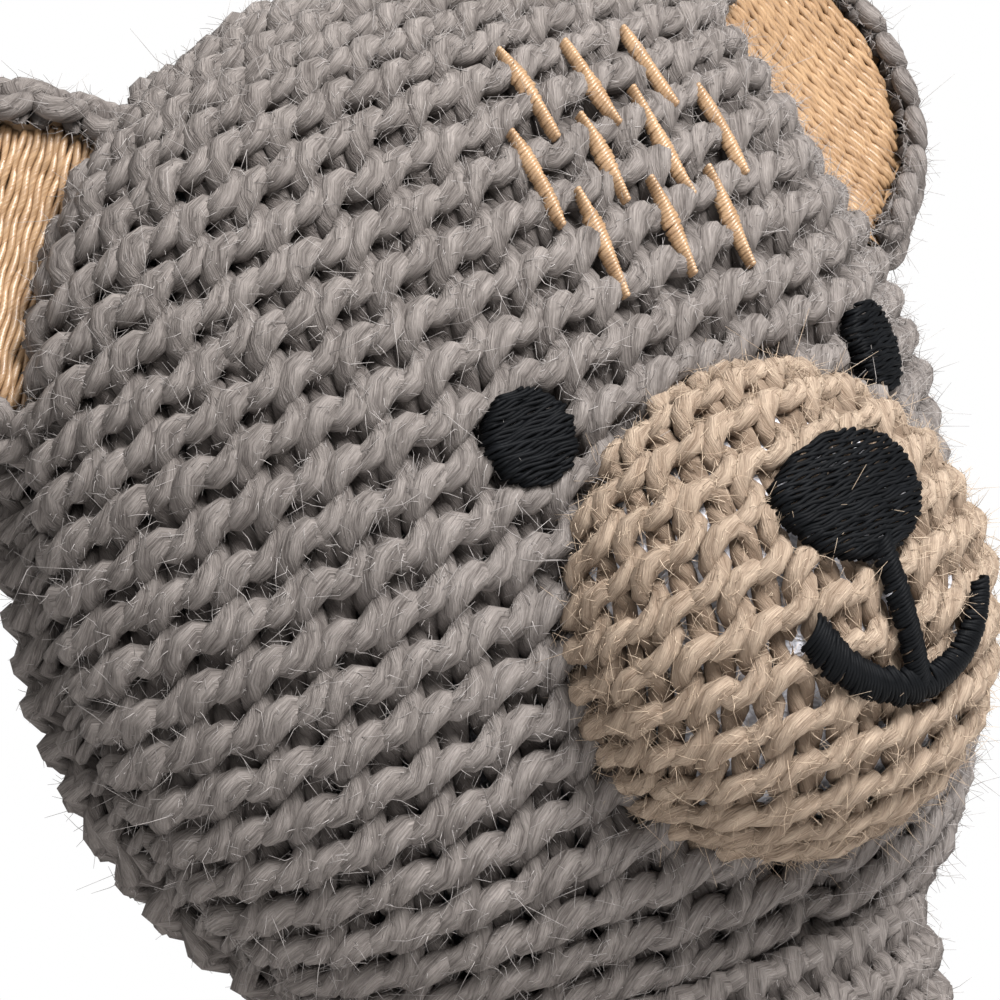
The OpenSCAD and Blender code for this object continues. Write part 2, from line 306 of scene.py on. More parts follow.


# fine jersey lining: fine bands stacked along the height from one wave, mixed with soft noise patches
def jerseyMaterial(name, dark, light):
    recipe = Recipe(name)
    place = recipe.node("TexCoord").outputs["Object"]
    rib = recipe.node("TexWave", wave_type="BANDS", bands_direction="Z")
    recipe.put(place, rib.inputs["Vector"])
    for key, value in (("Scale", 340.0), ("Distortion", 1.2), ("Detail", 2.0), ("Detail Scale", 2.0)):
        rib.inputs[key].default_value = value
    cloud = recipe.noise(place, 900.0, 3.0)
    tone = recipe.math("ADD", recipe.math("MULTIPLY", rib.outputs["Fac"], 0.5),
                       recipe.math("MULTIPLY", cloud, 0.5))
    recipe.put(recipe.mix(recipe.spread(tone, 0.15, 0.85), (*dark, 1), (*light, 1)),
               recipe.shader.inputs["Base Color"])
    recipe.bump(tone, 0.5, 0.2)
    setFinish(recipe.shader, 0.85, 0.25, 0.5, 0.3)
    return recipe.material


greyYarn = {
    "dark": (0.060, 0.0505, 0.0465), "light": (0.262, 0.233, 0.216),
    "turns": -0.75, "plies": 4, "wobble": 0.12, "fibreAlong": 7.0, "fibreAround": 44.0,
    "relief": 0.7, "roughness": 0.95, "sheen": 0.12, "specular": 0.15,
}
tanYarn = dict(greyYarn, dark=(0.15, 0.103, 0.072), light=(0.44, 0.345, 0.262))

materials = {
    "greyYarn": yarnMaterial("grey yarn", greyYarn),
    "tanYarn": yarnMaterial("tan yarn", tanYarn),
    "greyFuzz": fuzzMaterial("grey fuzz", (0.16, 0.145, 0.138), (0.40, 0.37, 0.355)),
    "tanFuzz": fuzzMaterial("tan fuzz", (0.30, 0.22, 0.155), (0.56, 0.45, 0.345)),
    "tanThread": threadMaterial("tan rayon thread", *threadColours["tan"], 0.36, 0.6),
    "blackThread": threadMaterial("black rayon thread", *threadColours["black"], 0.55, 0.06),
    "fibre": fibreMaterial("stuffing fibre", (0.33, 0.33, 0.36), (0.74, 0.74, 0.80)),
    "jersey": jerseyMaterial("lining jersey", (0.34, 0.34, 0.37), (0.62, 0.62, 0.66)),
}
print("materials made:", len(materials))


# mesh helpers

# one mesh from a point array and groups of faces with equally many corners; unused points are dropped
def makeMesh(name, points, groups, uvs, hollow, material):
    corners = np.concatenate([g.ravel() for g in groups])
    sizes = np.concatenate([np.full(len(g), g.shape[1]) for g in groups])
    used, corners = np.unique(corners, return_inverse=True)
    mesh = bpy.data.meshes.new(name)
    mesh.vertices.add(len(used))
    mesh.vertices.foreach_set("co", (points[used] * mm).astype(np.float32).ravel())
    mesh.loops.add(len(corners))
    mesh.loops.foreach_set("vertex_index", corners.astype(np.int32).ravel())
    mesh.polygons.add(len(sizes))
    mesh.polygons.foreach_set("loop_start", (np.cumsum(sizes) - sizes).astype(np.int32))
    mesh.polygons.foreach_set("use_smooth", np.ones(len(sizes), bool))
    mesh.update(calc_edges=True)
    layer = mesh.uv_layers.new(name="yarn")
    layer.data.foreach_set("uv", np.concatenate([u.reshape(-1, 2) for u in uvs]).astype(np.float32).ravel())
    # the hollow values become a point attribute; the yarn material paints shade with it
    if hollow is not None:
        shade = mesh.attributes.new("hollow", "FLOAT", "POINT")
        shade.data.foreach_set("value", hollow[used].astype(np.float32))
    mesh.materials.append(material)
    piece = bpy.data.objects.new(name, mesh)
    bpy.context.scene.collection.objects.link(piece)
    return piece


def unit(vectors):
    return vectors / np.maximum(np.linalg.norm(vectors, axis=-1, keepdims=True), 1e-9)


def smoothStep(x):
    x = np.clip(x, 0, 1)
    return x * x * (3 - 2 * x)


# tubes: ring point = path + radius * (cos w * across + sin w * up)
# across = tangent x normal, up = across x tangent
# segments where keep is false are left out, and both ends of each run are capped
def tubeArrays(paths, normals, radii, keep, sides, flat=1.0, hollow=None):
    count, length = paths.shape[:2]
    tangents = unit(np.gradient(paths, axis=1))
    across = unit(np.cross(tangents, normals))
    up = np.cross(across, tangents)
    turn = fullTurn * np.arange(sides) / sides
    rings = paths[:, :, None] + radii[:, :, None, None] * (
        np.cos(turn)[:, None] * across[:, :, None] + flat * np.sin(turn)[:, None] * up[:, :, None])
    index = np.arange(count * length * sides).reshape(count, length, sides)
    following = np.roll(index, -1, axis=2)
    quads = np.stack([index[:, :-1], index[:, 1:], following[:, 1:], following[:, :-1]], axis=-1)[keep]
    steps = np.linalg.norm(np.diff(paths, axis=1), axis=-1)
    run = np.concatenate([np.zeros((count, 1)), np.cumsum(steps, axis=1)], axis=1) / 10
    side = np.arange(sides + 1) / sides
    u = np.broadcast_to(run[:, :, None], (count, length, sides))
    v = np.broadcast_to(side[:-1], (count, length, sides))
    w = np.broadcast_to(side[1:], (count, length, sides))
    quadUv = np.stack([np.stack([u[:, :-1], v[:, :-1]], -1), np.stack([u[:, 1:], v[:, 1:]], -1),
                       np.stack([u[:, 1:], w[:, 1:]], -1), np.stack([u[:, :-1], w[:, :-1]], -1)], axis=-2)[keep]
    ahead = np.concatenate([keep, np.zeros((count, 1), bool)], axis=1)
    behind = np.concatenate([np.zeros((count, 1), bool), keep], axis=1)
    first, last = index[ahead & ~behind], index[behind & ~ahead][:, ::-1]
    caps = np.concatenate([first, last])
    capUv = np.zeros((*caps.shape, 2)) + 0.5
    shade = np.zeros(radii.shape) if hollow is None else hollow
    shade = np.repeat(shade.ravel(), sides)
    return rings.reshape(-1, 3), [quads.reshape(-1, 4), caps], [quadUv.reshape(-1, 4, 2), capUv], shade


def joinArrays(parts):
    points, groups, uvs, shades, start = [], [], [], [], 0
    for partPoints, partGroups, partUvs, shade in parts:
        points.append(partPoints)
        groups += [g + start for g in partGroups]
        uvs += partUvs
        shades.append(shade)
        start += len(partPoints)
    return np.concatenate(points), groups, uvs, np.concatenate(shades)


# a surface's points and outward normals: the normal is the cross product of small steps in a and in b
def surfaceFrame(place, a, b, step=0.4):
    alongA = place(a + step, b) - place(a - step, b)
    alongB = place(a, b + step) - place(a, b - step)
    return place(a, b), unit(np.cross(alongA, alongB))


# random values that change gently along each row: one per stitch, joined by smooth steps
def softRandom(rows, where, size):
    grid = rng.normal(0, 1, (rows, int(where.max() - where.min()) + 3))
    spot = where - where.min()
    cell = np.floor(spot).astype(int)
    share = smoothStep(spot - cell)
    return size * (grid[:, cell] * (1 - share) + grid[:, cell + 1] * share)


# purl-side knitting over place(a, b). Along one course, with t one turn per stitch:
# a = stitch * t / turn + lean * sin 2t, b = course * row + tall * cos t + tilt * sin 2t, height = deep * cos 2t
# Heads (t = 0) and feet (t = half a turn) lie on top, and the legs between them run behind.
def knit(place, edge, stitches, courses, look, relief=None):
    per = look["perStitch"]
    where = np.linspace(stitches[0], stitches[1], (stitches[1] - stitches[0]) * per + 1)
    t = where * fullTurn
    rows = np.arange(courses[0], courses[1] + 1)
    uneven = look["uneven"]
    a = look["stitch"] * where + look["lean"] * np.sin(2 * t) + softRandom(len(rows), where, 0.5 * uneven)
    b = look["course"] * rows[:, None] + look["tall"] * np.cos(t) + look["tilt"] * np.sin(2 * t)
    b = b + softRandom(len(rows), where * 2, uneven)
    face = np.clip(1.6 * np.sin(fullTurn * (where + 0.5) / 4), -1, 1) if "rib" in look else -1.0
    height = look["sink"] - look["deep"] * face * np.cos(2 * t) + look.get("rib", 0) * face
    height = height + softRandom(len(rows), where * 2, 0.6 * uneven)
    surface, normals = surfaceFrame(place, a, b)
    room = edge(surface, a, b)
    height = height - look["tuck"] * (1 - smoothStep(room / look["tuckWide"]))
    if relief is not None:
        height = height + relief(surface)
    paths = surface + normals * height[..., None]
    swell = 1 - look["swell"] * face * np.cos(2 * t) + 0.07 * np.cos(t)
    thinned = 0.45 + 0.55 * smoothStep(room / 2)
    radii = look["yarn"] * (swell + softRandom(len(rows), where * 2, 0.05)) * thinned
    keep = (room[:, :-1] > 0) & (room[:, 1:] > 0)
    # hollow is 1 where the yarn runs deep behind (the legs, on purl) and 0 where it lies on top; the yarn
    # material paints shade with it, and the loose fibres grow mostly where it is low
    hollow = np.broadcast_to(0.5 + 0.5 * face * np.cos(2 * t), radii.shape)
    return {"paths": paths, "normals": normals, "radii": radii, "keep": keep, "sides": look["sides"],
            "hollow": hollow}


def strandArrays(strands):
    return tubeArrays(strands["paths"], strands["normals"], strands["radii"], strands["keep"], strands["sides"],
                      0.92, strands["hollow"])


def knitPiece(name, strands, material):
    return makeMesh(name, *strandArrays(strands), material)


# loose fibres: from a spot on the yarn, point(s) = root + reach * (s * lead + s^2 * curl), 3-sided and tapering
def fuzzPiece(name, strands, look, material):
    paths, normals, radii = strands["paths"], strands["normals"], strands["radii"]
    tangents = unit(np.gradient(paths, axis=1))
    rows, spots = np.nonzero(strands["keep"])
    weight = np.cumsum(1.1 - strands["hollow"][rows, spots])
    chosen = np.searchsorted(weight, rng.uniform(0, weight[-1], look["count"]))
    row, spot = rows[chosen], spots[chosen]
    tangent, normal = tangents[row, spot], normals[row, spot]
    across = unit(np.cross(tangent, normal))
    turn = rng.uniform(-0.25, math.pi + 0.25, look["count"])[:, None]
    outward = np.cos(turn) * across + np.sin(turn) * np.cross(across, tangent)
    share = rng.uniform(0, 1, look["count"])[:, None]
    root = paths[row, spot] * (1 - share) + paths[row, spot + 1] * share
    root = root + outward * radii[row, spot][:, None] * 0.9
    sense = np.sign(rng.uniform(-1, 1, look["count"]))[:, None]
    lead = unit(0.8 * sense * tangent + look["lift"] * outward + 0.45 * rng.normal(0, 1, (look["count"], 3)))
    curl = look["curl"] * rng.normal(0, 1, (look["count"], 3)) + 0.1 * outward
    reach = look["reach"] * (0.35 + rng.gamma(2.0, 0.35, look["count"]))[:, None, None]
    reach = np.minimum(reach, look["longest"])
    s = np.linspace(0, 1, look["steps"] + 1)[:, None]
    fibres = root[:, None] + reach * (s * lead[:, None] + s * s * curl[:, None])
    guide = np.broadcast_to(unit(np.cross(lead, curl))[:, None], fibres.shape)
    thick = look["thick"] * (1 - 0.6 * s[None, :, 0]) * np.ones((look["count"], 1))
    keep = np.ones((look["count"], look["steps"]), bool)
    return makeMesh(name, *tubeArrays(fibres, guide, thick, keep, 3), material)


# head

frontLow, frontHigh = cadBox("head_front")
backLow, backHigh = cadBox("head_back")
headRadius = (frontHigh[0] - frontLow[0]) / 2
headCentre = np.array([0, 0, frontHigh[2] - headRadius])
frontDepth, backDepth = -frontLow[1], backHigh[1]


# dome tables: radius sin q and depth cos q against the arc length from the pole, with a straight skirt after it
def domeTable(radius, depth, skirt=0.0, steps=1500):
    q = np.linspace(0, math.pi / 2, steps)
    out, rise = radius * np.sin(q), depth * np.cos(q)
    if skirt:
        down = np.linspace(0, skirt, 200)[1:]
        out, rise = np.append(out, np.full(len(down), radius)), np.append(rise, -down)
    run = np.concatenate([[0], np.cumsum(np.hypot(np.diff(out), np.diff(rise)))])
    return run, out, rise


# flat cloth (a, b) laid on a dome: the distance from the pole is kept along the dome, and so is the direction
def domePlace(table, centre, turn, side):
    run, out, rise = table

    def place(a, b):
        away, angle = np.hypot(a, b), np.arctan2(b, a) + turn
        r, h = np.interp(away, run, out), np.interp(away, run, rise)
        return np.stack([centre[0] + side * r * np.cos(angle), centre[1] - side * h,
                         centre[2] + r * np.sin(angle)], axis=-1)
    return place


# how far outside the head's form a point is, in millimetres, nearly
def outsideHead(points):
    local = points - headCentre
    depth = np.where(local[..., 1] < 0, frontDepth, backDepth)
    level = np.sqrt((local[..., 0] ** 2 + local[..., 2] ** 2) / headRadius ** 2 + (local[..., 1] / depth) ** 2)
    return (level - 1) * 0.8 * np.minimum(headRadius, depth * 1.3)


# how the stuffing has settled: a hollow far cheek, a full near cheek and a flatter crown
settling = {"hollow": 6.3, "thin": 0.35, "full": 2.6, "flat": 4.0}


# x' = x (1 + full) - hollow * step(x), y' = y (1 - thin * step(x)), z' = z (1 + full) - flat * step(z)
# every step starts at a distance from the head's centre and rises over a width: (value - start) / width
def settled(points):
    local = points - headCentre
    x, y, z = local[..., 0], local[..., 1], local[..., 2]
    hollow = smoothStep((x - 17) / 26) * (1 - 0.5 * smoothStep((-z - 22) / 14))
    full = 1 + settling["full"] / headRadius * smoothStep((-x - 14) / 24) * smoothStep((-z + 4) / 26)
    flat = settling["flat"] * smoothStep((z - 30) / 22)
    return headCentre + np.stack([x * full - settling["hollow"] * hollow, y * (1 - settling["thin"] * hollow),
                                  z * full - flat], axis=-1)


muzzleLow, muzzleHigh = cadBox("muzzle")
muzzleRadius = (muzzleHigh[0] - muzzleLow[0]) / 2
muzzleCentre = np.array([0, 0, muzzleLow[2] + muzzleRadius])
eyeMiddles = {side: sum(cadBox("eye_" + side)) / 2 for side in ("left", "right")}
eyeRadius = (cadBox("eye_left")[1][0] - cadBox("eye_left")[0][0]) / 2
noseLow, noseHigh = cadBox("nose")
neckSink = 2.0            # how far the neck's pivot lies above the lowest point of the head
neckPivot = np.array([0, 0, frontHigh[2] - 2 * headRadius + neckSink])

headKnit = {
    "stitch": 5.7, "course": 4.35, "lean": 1.3, "tall": 4.5, "tilt": 0.72, "deep": 1.15, "sink": -1.25,
    "yarn": 1.11, "swell": 0.17, "uneven": 0.2, "perStitch": 20, "sides": 8, "tuck": 2.0, "tuckWide": 4.0,
    "turn": 8.0,              # degrees that the courses rise towards the bear's left
    "hem": 0.6,               # how far the stitches stop short of the side seam
    "neckHole": 13.0, "muzzleHole": 14.5, "eyePress": 0.9,
    "chin": 4.0,              # how far the chin stands out over the plain dome
    "creaseDeep": 1.8, "creaseWide": 1.6,
}


# front-view distance from a point, in millimetres
def frontAway(points, middle):
    return np.hypot(points[..., 0] - middle[0], points[..., 2] - middle[2])


# how much the fabric is pressed in or filled out: under the eyes, along the chin's seam, and at the chin
def headRelief(points):
    relief = np.zeros(points.shape[:-1])
    for middle in eyeMiddles.values():
        relief -= headKnit["eyePress"] * (1 - smoothStep((frontAway(points, middle) - eyeRadius + 1) / 2.5))
    low = headCentre[2] - points[..., 2]
    across = points[..., 0]
    full = smoothStep((low - 24) / 12) * np.exp(-(across / 22) ** 2)
    relief += headKnit["chin"] * full
    crease = np.exp(-(across / headKnit["creaseWide"]) ** 2) * smoothStep((low - 34) / 4)
    relief -= headKnit["creaseDeep"] * crease
    return relief


frontTable = domeTable(headRadius, frontDepth)
backTable = domeTable(headRadius, backDepth)


# room left to the side seam and to the neck's hole
def backEdge(points, a, b, table=backTable):
    room = table[0][-1] - headKnit["hem"] - np.hypot(a, b)
    return np.minimum(room, np.linalg.norm(points - neckPivot, axis=-1) - headKnit["neckHole"])


# the front has a hole behind the muzzle too
def frontEdge(points, a, b):
    hole = frontAway(points, muzzleCentre) - headKnit["muzzleHole"]
    return np.minimum(backEdge(points, a, b, frontTable), hole)


def settledPlace(place):
    return lambda a, b: settled(place(a, b))


headStitches, headCourses = (-13, 13), (-16, 16)
frontPlace = settledPlace(domePlace(frontTable, headCentre, math.radians(headKnit["turn"]), 1))
frontStrands = knit(frontPlace, frontEdge, headStitches, headCourses, headKnit, headRelief)
headFront = knitPiece("head_knit_front", frontStrands, materials["greyYarn"])
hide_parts("head_front")
backKnit = dict(headKnit, sides=6, perStitch=10)
backPlace = settledPlace(domePlace(backTable, headCentre, 0, -1))
backStrands = knit(backPlace, backEdge, headStitches, headCourses, backKnit)
headBack = knitPiece("head_knit_back", backStrands, materials["greyYarn"])
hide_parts("head_back")

headFuzz = {
    "count": 11000, "reach": 0.85, "longest": 3.0, "lift": 0.22, "curl": 0.7, "thick": 0.038, "steps": 2,
}
headHair = [fuzzPiece("head_fuzz_front_" + str(i + 1), frontStrands, headFuzz, materials["greyFuzz"])
            for i in range(3)]
headHair.append(fuzzPiece("head_fuzz_back", backStrands, dict(headFuzz, count=6000), materials["greyFuzz"]))
for piece in (headFront, headBack, *headHair):
    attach(piece, "head")
print("head knitted:", len(headFront.data.polygons), len(headBack.data.polygons))


# shared shapes

# profile (r, z) carried round an axis: point = origin + r cos w * first + r sin w * second + z * axis
def lathe(name, profile, origin, axes, material, around=72, wobble=0.0):
    profile = np.array(profile, float)
    turn = fullTurn * np.arange(around) / around
    first, second, axis = (np.array(v, float) for v in axes)
    out = profile[:, 0, None] + wobble * np.sin(5 * turn + 0.13 * profile[:, 1, None])
    outward = np.cos(turn)[:, None] * first + np.sin(turn)[:, None] * second
    points = np.array(origin) + out[..., None] * outward + profile[:, 1, None, None] * axis
    index = np.arange(len(profile) * around).reshape(len(profile), around)
    nextTurn, nextRow = np.roll(index, -1, axis=1), np.roll(index, -1, axis=0)
    quads = np.stack([index, nextTurn, np.roll(nextTurn, -1, axis=0), nextRow], axis=-1).reshape(-1, 4)
    u = np.broadcast_to(turn / fullTurn, index.shape)
    v = np.broadcast_to(np.arange(len(profile))[:, None] / len(profile), index.shape)
    corner = np.stack([u.ravel(), v.ravel()], axis=-1)
    return makeMesh(name, points.reshape(-1, 3), [quads], [corner[quads]], None, material)


# wall of even thickness round a path: the path out, and the same path back, moved inwards along its normal
def walled(path, wall):
    path = np.array(path, float)
    step = unit(np.gradient(path, axis=0))
    inner = path + wall * np.stack([-step[:, 1], step[:, 0]], axis=-1)
    return np.concatenate([path, inner[::-1]])


upright = ((1, 0, 0), (0, 1, 0), (0, 0, 1))


# one short tube for each pair of ends, bowed outwards: point = a + (b - a) s + normal * (lift sin pi s - sink)
def bars(starts, ends, normals, lift, sink, thick, material, name, steps=8, sides=6):
    s = np.linspace(0, 1, steps + 1)
    paths = starts[:, None] + (ends - starts)[:, None] * s[:, None]
    bow = lift * np.sin(math.pi * s) ** 0.6 - sink
    paths = paths + normals[:, None] * bow[:, None]
    guide = np.broadcast_to(normals[:, None], paths.shape)
    radii = np.ones(paths.shape[:2]) * thick
    keep = np.ones((len(starts), steps), bool)
    return makeMesh(name, *tubeArrays(paths, guide, radii, keep, sides), material)


# filling and pockets

filling = {
    "inset": 3.7, "pocketRadius": 10.9, "pocketTop": 207.5, "neckRoom": 21.6,
    "lumps": 0.5, "around": 96, "steps": 60,
}


# profile from the top of the pocket down to the neck, out, and up round the head: (radius, height, y share)
def fillingShape(look):
    pocketTop = look["pocketTop"] - headCentre[2]
    inner = headRadius - look["inset"]
    mouth = look["neckRoom"] * 0.86 + neckPivot[2] - headCentre[2]
    q = np.linspace(math.asin(-0.80), math.pi / 2, look["steps"])
    bore = np.linspace(pocketTop - 6, mouth, 8)
    radius = np.concatenate([[0.01, 6], np.full(1 + len(bore), look["pocketRadius"]), inner * np.cos(q)])
    height = np.concatenate([[pocketTop, pocketTop, pocketTop - 2], bore, inner * np.sin(q)])
    return radius, height, np.concatenate([np.zeros(3 + len(bore)), np.ones(look["steps"])])


def makeFilling(look):
    radius, height, share = fillingShape(look)
    turn = fullTurn * np.arange(look["around"]) / look["around"]
    lump = np.sin(7 * turn + 0.21 * height[:, None]) + np.sin(0.5 * height[:, None] + 4 * turn)
    r = radius[:, None] + look["lumps"] * lump * share[:, None] * 0.5
    sine = np.sin(turn)
    depth = (np.where(sine < 0, frontDepth, backDepth) - look["inset"]) / (headRadius - look["inset"])
    squeeze = 1 + share[:, None] * (depth - 1)
    rise = np.broadcast_to(height[:, None], r.shape)
    points = np.stack([r * np.cos(turn), r * sine * squeeze, rise], axis=-1)
    index = np.arange(points[..., 0].size).reshape(points.shape[:2])
    following = np.roll(index, -1, axis=1)
    quads = np.stack([index[:-1], following[:-1], following[1:], index[1:]], axis=-1).reshape(-1, 4)[:, ::-1]
    bottom, top = index[0][None, ::-1], index[-1][None]
    corner = points.reshape(-1, 3)[:, ::2] / 100
    return makeMesh("head_filling", settled(points.reshape(-1, 3) + headCentre), [quads, bottom[:, ::-1], top],
                    [corner[quads], corner[bottom], corner[top]], None, materials["fibre"])


headFilling = makeFilling(filling)
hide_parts("head_stuffing")
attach(headFilling, "head")

pocketLow, pocketHigh = cadBox("finger_pocket")
pocketRadius = (pocketHigh[0] - pocketLow[0]) / 2
pocketShape = {"wall": 0.9, "end": 4.0, "around": 48, "ripple": 0.12}
pocketArc = np.linspace(0, math.pi / 2, 10)
pocketBend = pocketHigh[2] - pocketShape["end"]       # where the straight tube starts to round over
pocketEnd = np.stack([0.2 + (pocketRadius - 0.2) * np.cos(pocketArc),
                      pocketBend + pocketShape["end"] * np.sin(pocketArc)], axis=-1)
pocketTube = [[pocketRadius, z] for z in np.linspace(pocketLow[2], pocketBend, 14)]
pocketPath = np.concatenate([pocketTube, pocketEnd[1:]])
headPocket = lathe("head_pocket_lining", walled(pocketPath, pocketShape["wall"]), (0, 0, 0), upright,
                   materials["jersey"], pocketShape["around"], pocketShape["ripple"])
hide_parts("finger_pocket")
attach(headPocket, "head")
print("filling and pocket made")


# muzzle

muzzleShape = {"sink": 2.1, "skirt": 14.0, "inset": 1.5}
muzzleFront = frontDepth - muzzleShape["sink"]
muzzleDepth = -muzzleLow[1] - muzzleFront
muzzleMiddle = muzzleCentre + np.array([0, -muzzleFront, 0])

muzzleKnit = dict(headKnit, stitch=6.0, course=4.4, tall=4.45, lean=1.4, yarn=0.88, sink=-1.0, deep=0.85,
                  uneven=0.22, tuck=1.0, tuckWide=2.0, turn=6.0, perStitch=16)
muzzleTable = domeTable(muzzleRadius, muzzleDepth, muzzleShape["skirt"])


# a front-view spot (x, z) on the muzzle's form: y = -(front + depth * sqrt(1 - r^2 / radius^2))
def onMuzzle(x, z):
    away = np.clip(((x - muzzleMiddle[0]) ** 2 + (z - muzzleMiddle[2]) ** 2) / muzzleRadius ** 2, 0, 0.97)
    return np.stack([x, muzzleMiddle[1] - muzzleDepth * np.sqrt(1 - away), z], axis=-1)


# a front-view spot (x, z) on the head's form
def onHead(x, z):
    away = np.clip((x ** 2 + (z - headCentre[2]) ** 2) / headRadius ** 2, 0, 0.97)
    return settled(np.stack([x, -frontDepth * np.sqrt(1 - away), z], axis=-1))


# outward normals of such a form: the cross product of small steps in x and in z
def frontNormals(place, x, z, step=0.3):
    alongX = place(x + step, z) - place(x - step, z)
    alongZ = place(x, z + step) - place(x, z - step)
    return unit(np.cross(alongX, alongZ))


smile = {
    "radius": 10, "drop": 9.2, "half": 70, "shift": 1.2, "width": 2.5,
    "stemTop": 1.2, "stemWidth": 2.3,
}
smileMiddle = np.array([smile["shift"], muzzleMiddle[2] + smile["radius"] - smile["drop"]])
noseMiddle = (noseLow + noseHigh) / 2
noseHalf = (noseHigh - noseLow) / 2


# the knit lies lower under the nose and the mouth
def muzzleRelief(points):
    x, z = points[..., 0], points[..., 2]
    front = points[..., 1] < muzzleMiddle[1]
    nose = np.hypot((x - noseMiddle[0]) / noseHalf[0], (z - noseMiddle[2]) / noseHalf[2])
    relief = -0.9 * (1 - smoothStep((nose - 0.9) / 0.25))
    around = np.hypot(x - smileMiddle[0], z - smileMiddle[1])
    onSmile = (np.abs(around - smile["radius"]) < 1.6) & (z < smileMiddle[1] - 2)
    onStem = (np.abs(x) < 1.5) & (z < noseMiddle[2]) & (z > smileMiddle[1] - smile["radius"])
    return (relief - 0.6 * (onSmile | onStem)) * front


def muzzleEdge(points, a, b):
    return outsideHead(points) + 1.2


muzzlePlace = domePlace(muzzleTable, muzzleMiddle, math.radians(muzzleKnit["turn"]), 1)
muzzleStrands = knit(muzzlePlace, muzzleEdge, (-8, 8), (-11, 11), muzzleKnit, muzzleRelief)
muzzleKnitted = knitPiece("muzzle_knit", muzzleStrands, materials["tanYarn"])
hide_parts("muzzle")
muzzleFuzz = fuzzPiece("muzzle_fuzz", muzzleStrands, dict(headFuzz, count=9000), materials["tanFuzz"])
innerArc = np.linspace(math.pi / 2, -0.35, 34)
innerRadius, innerDepth = muzzleRadius - muzzleShape["inset"], muzzleDepth - muzzleShape["inset"]
innerPath = np.stack([np.maximum(innerRadius * np.cos(innerArc), 0.05),
                      np.where(innerArc > 0, innerDepth * np.sin(innerArc), 20 * np.sin(innerArc))], axis=-1)
muzzleFilling = lathe("muzzle_filling", np.concatenate([innerPath[::-1], [[0.05, innerPath[-1][1]]]])[:-1],
                      muzzleMiddle, ((1, 0, 0), (0, 0, 1), (0, -1, 0)), materials["fibre"], 64, 0.35)
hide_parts("muzzle_stuffing")
for piece, slotName in (
        (muzzleKnitted, "tan_yarn"), (muzzleFuzz, "tan_yarn"), (muzzleFilling, "stuffing_fibre")):
    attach(piece, "head")
print("muzzle knitted:", len(muzzleKnitted.data.polygons))


# embroidery

embroidery = {
    "thread": 0.19, "spacing": 0.25, "crown": 0.4, "lift": 0.6,
    "satinThread": 0.22, "satinSpacing": 0.3,
    "split": 3.2,              # length of one filling stitch
}


# filling stitches: straight threads side by side across an outline, nipped in where each stitch ends
def fillStitches(name, middle, half, slant, place, shape, material):
    look = embroidery
    rows = np.arange(-half[1] + 0.15, half[1], look["spacing"])
    reach = shape(rows / half[1]) * half[0] + rng.normal(0, 0.16, len(rows))
    s = np.linspace(-1, 1, 33)
    along = reach[:, None] * s
    across = rows[:, None] + 0.1 * np.sin(1.9 * along + rng.uniform(0, 6, (len(rows), 1)))
    cosine, sine = math.cos(math.radians(slant)), math.sin(math.radians(slant))
    x = middle[0] + along * cosine - across * sine
    z = middle[2] + along * sine + across * cosine
    points = place(x, z)
    phase = along / look["split"] + rng.uniform(0, 1, (len(rows), 1))
    nip = np.abs(np.sin(math.pi * phase)) ** 0.35
    height = look["lift"] + look["crown"] * (1 - (across / half[1]) ** 2) + 0.3 * nip - 1.3 * np.abs(s) ** 14
    height = height + rng.normal(0, 0.07, (len(rows), 1))
    normals = frontNormals(place, x, z)
    points = points + normals * height[..., None]
    keep = np.ones((len(rows), len(s) - 1), bool)
    radii = np.ones(points.shape[:2]) * look["thread"]
    return makeMesh(name, *tubeArrays(points, normals, radii, keep, 6), material)


def roundShape(share):
    return np.clip(1 - np.abs(share) ** 2.3, 0.03, 1) ** 0.47


# a wide top and a narrower, rounded bottom
def noseShape(share):
    return np.clip(1 - np.abs(share) ** 2.4, 0.03, 1) ** 0.5 * (1 + 0.14 * share)


# satin stitches: threads laid across a front-view path, with the width given along it
def satinStitches(name, paths, place, slant, material, lift, sink):
    look = embroidery
    starts, ends, normals = [], [], []
    for x, z, width in paths:
        run = np.concatenate([[0], np.cumsum(np.hypot(np.diff(x), np.diff(z)))])
        spots = np.arange(0, run[-1], look["satinSpacing"])
        px, pz, pw = (np.interp(spots, run, v) for v in (x, z, width))
        dx, dz = np.gradient(px), np.gradient(pz)
        size = np.hypot(dx, dz)
        dx, dz = dx / size, dz / size
        turn = math.radians(90 + slant) + rng.normal(0, 0.09, len(spots))
        sideX, sideZ = dx * np.cos(turn) - dz * np.sin(turn), dx * np.sin(turn) + dz * np.cos(turn)
        half = pw / 2 * (1 + rng.normal(0, 0.07, len(spots)))
        starts.append(place(px + sideX * half, pz + sideZ * half))
        ends.append(place(px - sideX * half, pz - sideZ * half))
        normals.append(frontNormals(place, px, pz))
    starts, ends, normals = (np.concatenate(v) for v in (starts, ends, normals))
    return bars(starts, ends, normals, lift, sink, look["satinThread"], material, name, 10)


noseThreads = fillStitches("nose_embroidery", noseMiddle, (noseHalf[0] * 0.97, noseHalf[2] * 0.95), 6,
                           onMuzzle, noseShape, materials["blackThread"])
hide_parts("nose")
smileTurn = np.radians(np.linspace(-90 - smile["half"], -90 + smile["half"], 60))
smileShare = np.linspace(0, 1, 60)
smileWidth = smile["width"] * (1.18 - 0.4 * smileShare ** 3) * (1 + 0.05 * np.sin(17 * smileShare))
smileX = smileMiddle[0] + smile["radius"] * np.cos(smileTurn)
smileZ = smileMiddle[1] + smile["radius"] * np.sin(smileTurn)
stemZ = np.linspace(noseLow[2] + smile["stemTop"], smileMiddle[1] - smile["radius"], 30)
stemX = 0.9 * ((stemZ[0] - stemZ) / (stemZ[0] - stemZ[-1])) ** 1.5
mouthPaths = [(smileX, smileZ, smileWidth), (stemX, stemZ, np.full(30, smile["stemWidth"]))]
